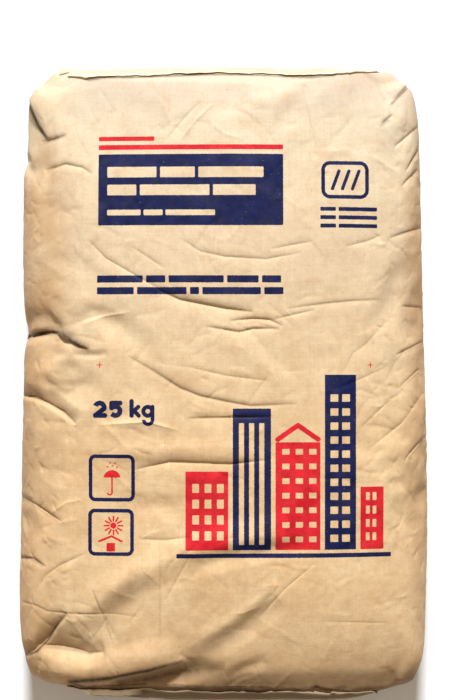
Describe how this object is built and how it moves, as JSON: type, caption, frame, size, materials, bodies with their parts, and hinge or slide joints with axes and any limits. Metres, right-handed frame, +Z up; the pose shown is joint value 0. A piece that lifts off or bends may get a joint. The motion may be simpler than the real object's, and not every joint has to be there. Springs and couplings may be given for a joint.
{
  "type": "cement bag",
  "caption": "Filled 25 kg kraft paper valve sack of cement, lying flat on its back with its printed face up and its pasted block ends showing.",
  "frame": {"origin": "on the floor, below the middle of the bag's bounding box", "axes": "+X across the bag, to the right of the printed face as it is read; +Y along the bag, towards its valve (top) end; +Z up, out of the printed face"},
  "size_m": [0.36, 0.5648, 0.112],
  "materials": {
    "kraft_paper": "matte unbleached kraft paper, creased, printed in navy and red",
    "patch_paper": "matte unbleached kraft paper, unprinted",
    "sleeve_paper": "matte kraft paper, a little paler and dusty with cement"
  },
  "bodies": {
    "root": {"sack": "kraft_paper", "top_cover_patch": "patch_paper", "bottom_cover_patch": "patch_paper", "valve_sleeve": "sleeve_paper"}
  },
  "joints": []
}
